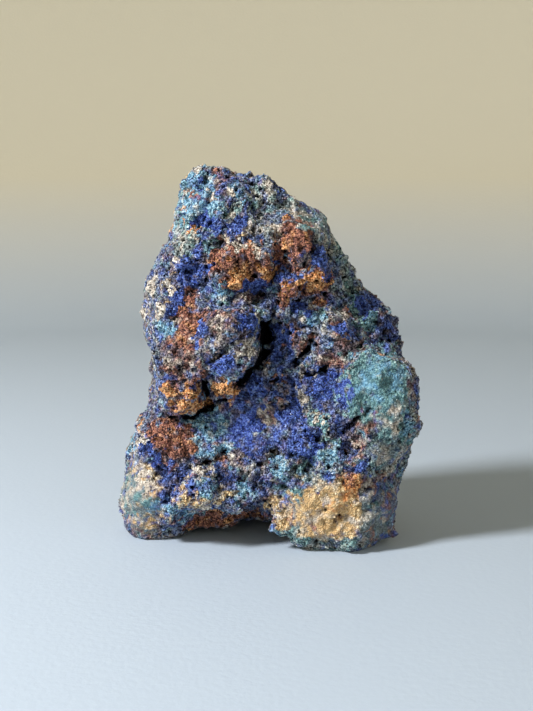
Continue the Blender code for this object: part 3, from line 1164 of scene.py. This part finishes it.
# %% [markdown]
# ## Mineral finish
#
# One node group mixes the colour for the rock and for every grain grown on it. It takes three
# numbers that differ from grain to grain: two to choose the mineral against its field, one for the
# tone. Each mineral has a dark, a middle and a light colour. The minerals are laid over each other
# in the order in which they grew: azurite and host first, then the weathered and dusty forms, the
# green, the iron and the pale crystals, and the freshest blue on top. Painted images could do this
# too, but they would stretch in the clefts.

# %% Colours of the minerals
MINERALS = {  # dark, middle, light
    "azurite": ("#0b122c", "#3a4c8a", "#8496c0"),
    "host": ("#28241f", "#776f66", "#b4aea0"),
    "dusty": ("#1e284c", "#5e709a", "#a4b1cb"),
    "deep": ("#05081c", "#1e3068", "#4662a0"),
    "mauve": ("#120f16", "#4e4553", "#867b85"),
    "grey": ("#20292d", "#6a777c", "#a8b3b2"),
    "teal": ("#12292f", "#537e86", "#92b8b4"),
    "cyan": ("#1f4464", "#68a0c2", "#acd0e0"),
    "rust": ("#1c0d0c", "#79493e", "#ba8068"),
    "ochre": ("#42220f", "#cc8244", "#eebf8a"),
    "sand": ("#6a5034", "#cfaa76", "#f0deb4"),
    "cream": ("#6d6058", "#c0b5a8", "#efe8dc"),
    "electric": ("#070a2e", "#2d479e", "#6a87d0"),
}
print("palette of", len(MINERALS), "minerals")

# %% Build the mineral mixer
EDGE = 0.13  # half the stretch over which one mineral gives way to the next
LOT_SHARE = 0.03


def tones_of(tree, value, codes):
    made = add_node(tree, "ShaderNodeValToRGB", {"Fac": value})
    stops = made.color_ramp.elements
    stops.new(0.5)
    for stop, position, code in zip(stops, (0.0, 0.5, 1.0), codes):
        stop.position = position
        stop.color = colour(code)
    return made.outputs["Color"]


def build_mixer():
    tree = bpy.data.node_groups.new("mineral_mixer", "ShaderNodeTree")
    for name in ("Choice", "Tone", "Mottle"):
        tree.interface.new_socket(name, in_out="INPUT", socket_type="NodeSocketFloat")
    tree.interface.new_socket("Color", in_out="OUTPUT", socket_type="NodeSocketColor")
    given = add_node(tree, "NodeGroupInput").outputs
    shown = None
    for step, (mineral, codes) in enumerate(MINERALS.items()):
        own = tones_of(tree, given["Tone"], codes)
        if shown is None:
            shown = own
            continue
        lot = math_of(tree, "FRACT", math_of(tree, "MULTIPLY", given["Choice"], 7.31 + step))
        level = sum_of(tree, given["Mottle"], (lot, LOT_SHARE))
        above = math_of(tree, "SUBTRACT", field_of(tree, mineral), level)
        shown = blend_of(tree, range_of(tree, above, -EDGE, EDGE), shown, own)
    out = add_node(tree, "NodeGroupOutput")
    tree.links.new(shown, out.inputs["Color"])
    return tree


mixer = build_mixer()
print("mixer has", len(mixer.nodes), "nodes")

# %% [markdown]
# The crust's own finish reads a net of small cells for its grains. Each cell has a random colour,
# which chooses its mineral and tone, and a dome shape, which gives the bump between the carved
# relief and what the eye can still make out. The tone is lifted on the crests, a painted highlight.
# Dips and the gaps between grains are darkened towards near-black and dulled: painted shade.

# %% Finish of the crust
GRAIN = 0.3 * MM
# near-black used for the painted shade in dips and in the gaps between grains
SHADE_BLACK = "#050508"


def minerals_of(tree, choice, tone, mottle):
    inputs = {"Choice": choice, "Tone": tone, "Mottle": mottle}
    return add_node(tree, "ShaderNodeGroup", inputs, node_tree=mixer).outputs["Color"]


def painted_shade(tree, shader, shown, amount, gap=0.0):
    """Paints shade: darkens a colour towards near-black where the cavity field is high and in the gaps
    between grains, and dulls it.
    """
    dip_shade = math_of(tree, "MULTIPLY", field_of(tree, "cavity"), amount)
    share = math_of(tree, "MAXIMUM", dip_shade, gap)
    dull = range_of(tree, share, start=0.5, end=0.02)
    tree.links.new(dull, shader.inputs["Specular IOR Level"])
    return blend_of(tree, share, shown, colour(SHADE_BLACK))


crust_finish, tree, shader = new_material("azurite_crust")
place = place_of(tree)
cells = add_node(tree, "ShaderNodeTexVoronoi", {"Vector": place, "Scale": 1 / GRAIN})
draws = add_node(tree, "ShaderNodeSeparateColor", {"Color": cells.outputs["Color"]}).outputs
fine = speckle_of(tree, place, 0.9 / GRAIN, 3.0, 0.7)
blotch = speckle_of(tree, place, 0.25 / GRAIN)
rough = math_of(tree, "SUBTRACT", 1.0, field_of(tree, "calm"))
# the crest term paints a highlight: crests come out lighter
tone = sum_of(tree, -1.6, (draws[2], 1.0), (fine, 2.2), (field_of(tree, "crest"), 0.3))
tone = sum_of(tree, 0.5, (tone, rough))
shown = minerals_of(tree, draws[0], tone, range_of(tree, blotch, 0.3, 0.7, 0.38, 0.53))
rift = sum_of(tree, cells.outputs["Distance"], (fine, -1.6))
gap = math_of(tree, "MULTIPLY", range_of(tree, rift, -0.35, 0.05, 0.0, 0.85), rough)
# painted shade: dips and the gaps between grains are darkened towards near-black
tree.links.new(painted_shade(tree, shader, shown, 1.0, gap), shader.inputs["Base Color"])
shine = range_of(tree, draws[1], start=0.4, end=0.85)
tree.links.new(shine, shader.inputs["Roughness"])
dome = math_of(tree, "SUBTRACT", fine, cells.outputs["Distance"])
tree.links.new(bump_of(tree, dome, 1.0, 0.2), shader.inputs["Normal"])
rock.data.materials.append(crust_finish)
print("crust finish has", len(tree.nodes), "nodes")

# %% [markdown]
# ## Crystals and grains
#
# Four kinds of small things are grown on the crust: blocky azurite crystals, round malachite beads,
# crumbs of iron oxide and pale crystals. Three shapes serve for them, each modelled once with 6 to
# 20 faces, because the pale crystals have the shape of the blue ones. Geometry nodes then strew
# copies over the crust, thickest where a kind's minerals are strong, and turn them into real mesh.
# Strewing by hand would take thousands of placings.


# %% Model one of each kind
def begin(add_primitive, **settings):
    """Adds a primitive at the middle and opens it for shaping, selected all over."""
    bpy.ops.object.select_all(action="DESELECT")
    add_primitive(location=(0, 0, 0), **settings)
    bpy.ops.object.mode_set(mode="EDIT")
    bpy.ops.mesh.select_all(action="SELECT")
    return bpy.context.object


def keep_aside(shape, name):
    shape.name = name
    bpy.ops.object.mode_set(mode="OBJECT")
    for home in list(shape.users_collection):
        home.objects.unlink(shape)
    print(name, "has", len(shape.data.polygons), "faces")
    return shape


def select_top(shape):
    bpy.ops.mesh.select_mode(type="FACE")
    bpy.ops.mesh.select_all(action="DESELECT")
    bpy.ops.object.mode_set(mode="OBJECT")
    for face in shape.data.polygons:
        face.select = face.normal.z > 0.9
    bpy.ops.object.mode_set(mode="EDIT")


def model_crystal():
    """A blocky crystal: a cube drawn out, with a smaller slanting top."""
    crystal = begin(bpy.ops.mesh.primitive_cube_add, size=1.0)
    bpy.ops.transform.resize(value=(0.8, 0.62, 1.15))
    select_top(crystal)
    bpy.ops.transform.resize(value=(0.7, 0.6, 1.0))
    bpy.ops.transform.rotate(value=0.45, orient_axis="Y", center_override=(0, 0, 0.5))
    return keep_aside(crystal, "crystal_shape")


def model_bead():
    """A round bead, a little flattened."""
    bead = begin(bpy.ops.mesh.primitive_ico_sphere_add, subdivisions=1, radius=0.5)
    bpy.ops.transform.resize(value=(1.0, 0.95, 0.8))
    return keep_aside(bead, "bead_shape")


def model_crumb():
    """A crumb: a ball knocked out of round."""
    crumb = begin(bpy.ops.mesh.primitive_ico_sphere_add, subdivisions=1, radius=0.5)
    bpy.ops.mesh.select_mode(type="VERT")
    bpy.ops.transform.vertex_random(offset=0.16, seed=SEED)
    return keep_aside(crumb, "crumb_shape")


SHAPES = {"crystal": model_crystal(), "bead": model_bead(), "crumb": model_crumb()}

# %% [markdown]
# The strewing tree scatters spots on the crust that keep their distance, sets a shape on each with
# its own turn and size, stores three random draws on it for its finish, and makes it real mesh.


# %% Geometry nodes that strew one kind over the crust
FULL_TURN = 6.283
NEARLY_DOWN = 0.1


def random_of(tree, low, high, seed):
    inputs = {0: (low,) * 3, 1: (high,) * 3, "Seed": seed}
    made = add_node(tree, "FunctionNodeRandomValue", inputs, data_type="FLOAT_VECTOR")
    return made.outputs["Value"]


def scattered(tree, density, spacing, seed):
    crust = add_node(tree, "GeometryNodeObjectInfo", {"Object": rock}).outputs["Geometry"]
    named = {"Name": density}
    thick = add_node(tree, "GeometryNodeInputNamedAttribute", named, data_type="FLOAT")
    inputs = {
        "Mesh": crust,
        "Distance Min": spacing * MM,
        "Density Max": 1.6 / (spacing * MM) ** 2,
        "Density Factor": thick.outputs["Attribute"],
        "Seed": seed,
    }
    kind = "GeometryNodeDistributePointsOnFaces"
    return add_node(tree, kind, inputs, distribute_method="POISSON").outputs["Points"]


def build_strewer(name, shape, spacing, sizes, seed):
    tree = bpy.data.node_groups.new(name, "GeometryNodeTree")
    tree.interface.new_socket("Geometry", in_out="OUTPUT", socket_type="NodeSocketGeometry")
    small, large = sizes
    inputs = {
        "Points": scattered(tree, name, spacing, seed),
        "Instance": add_node(tree, "GeometryNodeObjectInfo", {"Object": shape}).outputs["Geometry"],
        "Rotation": random_of(tree, 0, FULL_TURN, seed + 1),
        "Scale": random_of(tree, small * MM, large * MM, seed + 2),
    }
    grown = add_node(tree, "GeometryNodeInstanceOnPoints", inputs).outputs["Instances"]
    inputs = {"Geometry": grown, "Name": "draw", "Value": random_of(tree, 0, 1, seed + 3)}
    settings = {"data_type": "FLOAT_VECTOR", "domain": "INSTANCE"}
    marked = add_node(tree, "GeometryNodeStoreNamedAttribute", inputs, **settings).outputs["Geometry"]
    real = add_node(tree, "GeometryNodeRealizeInstances", {"Geometry": marked}).outputs["Geometry"]
    tree.links.new(real, add_node(tree, "NodeGroupOutput").inputs["Geometry"])
    return tree


def press_flat(mesh):
    """Brings what reaches below the ground, or nearly touches it, exactly onto it."""
    points = points_of(mesh)
    points[:, 2] = np.where(points[:, 2] < NEARLY_DOWN, 0, points[:, 2])
    move_points(mesh, points)


def strew(name, shape, density, spacing, sizes, seed, finish):
    layer = rock.data.attributes.new(name, "FLOAT", "POINT")
    layer.data.foreach_set("value", density.astype(np.float32))
    piece = bpy.data.objects.new(name, bpy.data.meshes.new(name))
    bpy.context.scene.collection.objects.link(piece)
    grow = piece.modifiers.new("strew", "NODES")
    grow.node_group = build_strewer(name, shape, spacing, sizes, seed)
    apply_modifiers(piece)
    rock.data.attributes.remove(rock.data.attributes[name])
    press_flat(piece.data)
    piece.data.materials.clear()
    piece.data.materials.append(finish)
    piece.data.calc_loop_triangles()
    print(name, "has", len(piece.data.loop_triangles), "triangles")
    return piece


# %% [markdown]
# A grain's finish is the same mixer, but its draws were stored on it when it was strewn, so a grain
# is all one mineral and one tone. Pale and blue crystals are glossy, and crumbs of iron oxide dull.


# %% Finish of the grains
def grain_finish(name, roughness, brighter):
    made, tree, shader = new_material(name)
    draw = add_node(tree, "ShaderNodeAttribute", attribute_name="draw").outputs["Vector"]
    draws = add_node(tree, "ShaderNodeSeparateXYZ", {"Vector": draw}).outputs
    tone = sum_of(tree, brighter, (draws[2], 0.9))
    shown = minerals_of(tree, draws[0], tone, sum_of(tree, 0.42, (draws[1], 0.08)))
    # painted shade: grains that sit in dips are darkened towards near-black
    tree.links.new(painted_shade(tree, shader, shown, 0.85), shader.inputs["Base Color"])
    pitting = speckle_of(tree, place_of(tree), 2.5 / GRAIN)
    shine = range_of(tree, pitting, start=roughness - 0.15, end=roughness + 0.15)
    tree.links.new(shine, shader.inputs["Roughness"])
    tree.links.new(bump_of(tree, pitting, 0.3, 0.05), shader.inputs["Normal"])
    return made


# %% [markdown]
# Each kind grows where its minerals are strongest, in clumps, and keeps out of the dips and off the
# smooth skin. Azurite crystals grow closest, because the crust is mostly made of them.


# %% Strew the crystals and grains
def cover(*minerals):
    """How much of the ground the strongest of these minerals takes, from 0 to 1."""
    return np.clip(2 * np.max([fields[mineral] for mineral in minerals], axis=0) - 0.5, 0, 1)


clumps = ramp(noise_at(points, 1.3, 71), -0.35, 0.25)
room = (1 - fields["cavity"]) * (0.3 + 0.7 * clumps) * ramp(points[:, 2], 0.3, 0.8)
room *= 1 - 0.9 * fields["calm"]
blue = np.maximum(cover("electric", "deep"), 0.5 * cover("dusty")) * (1 - 0.7 * cover("host"))
green = cover("teal", "cyan", "grey")
iron = cover("rust", "ochre", "sand")
pale = cover("cream")

DENSITIES = {
    "azurite_crystals": 0.02 + blue,
    "malachite_grains": 0.02 + 0.5 * green,
    "iron_oxide_grains": 0.05 + iron,
    "pale_grains": 0.05 + pale,
}
KINDS = {  # shape, spacing, sizes from and to, seed, roughness, how much brighter
    "azurite_crystals": ("crystal", 0.34, (0.12, 0.46), 11, 0.38, 0.1),
    "malachite_grains": ("bead", 0.42, (0.12, 0.42), 21, 0.6, 0.1),
    "iron_oxide_grains": ("crumb", 0.42, (0.14, 0.48), 31, 0.75, 0.1),
    "pale_grains": ("crystal", 0.45, (0.12, 0.42), 41, 0.3, 0.2),
}
grown = {}
for name, (shape, spacing, sizes, seed, roughness, brighter) in KINDS.items():
    finish = grain_finish(name, roughness, brighter)
    density = DENSITIES[name] * room
    grown[name] = strew(name, SHAPES[shape], density, spacing, sizes, seed, finish)

# %% [markdown]
# ## Hand the pieces over
#
# Every piece rides on the one body, and all of them together stand for the imported rock, which is
# hidden. The finished box is printed, as the imported one was, so that the two sizes can be compared.

# %% Hand the pieces over
for slot, piece in {"azurite_crust": rock, **grown}.items():
    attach(piece, "root")
    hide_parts(NODE)

made_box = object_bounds()
sizes = {"cad": [list(c) for c in cad_box], "visual": [list(c) for c in made_box]}
print("finished box in mm:", [[round(c / MM, 1) for c in corner] for corner in made_box])
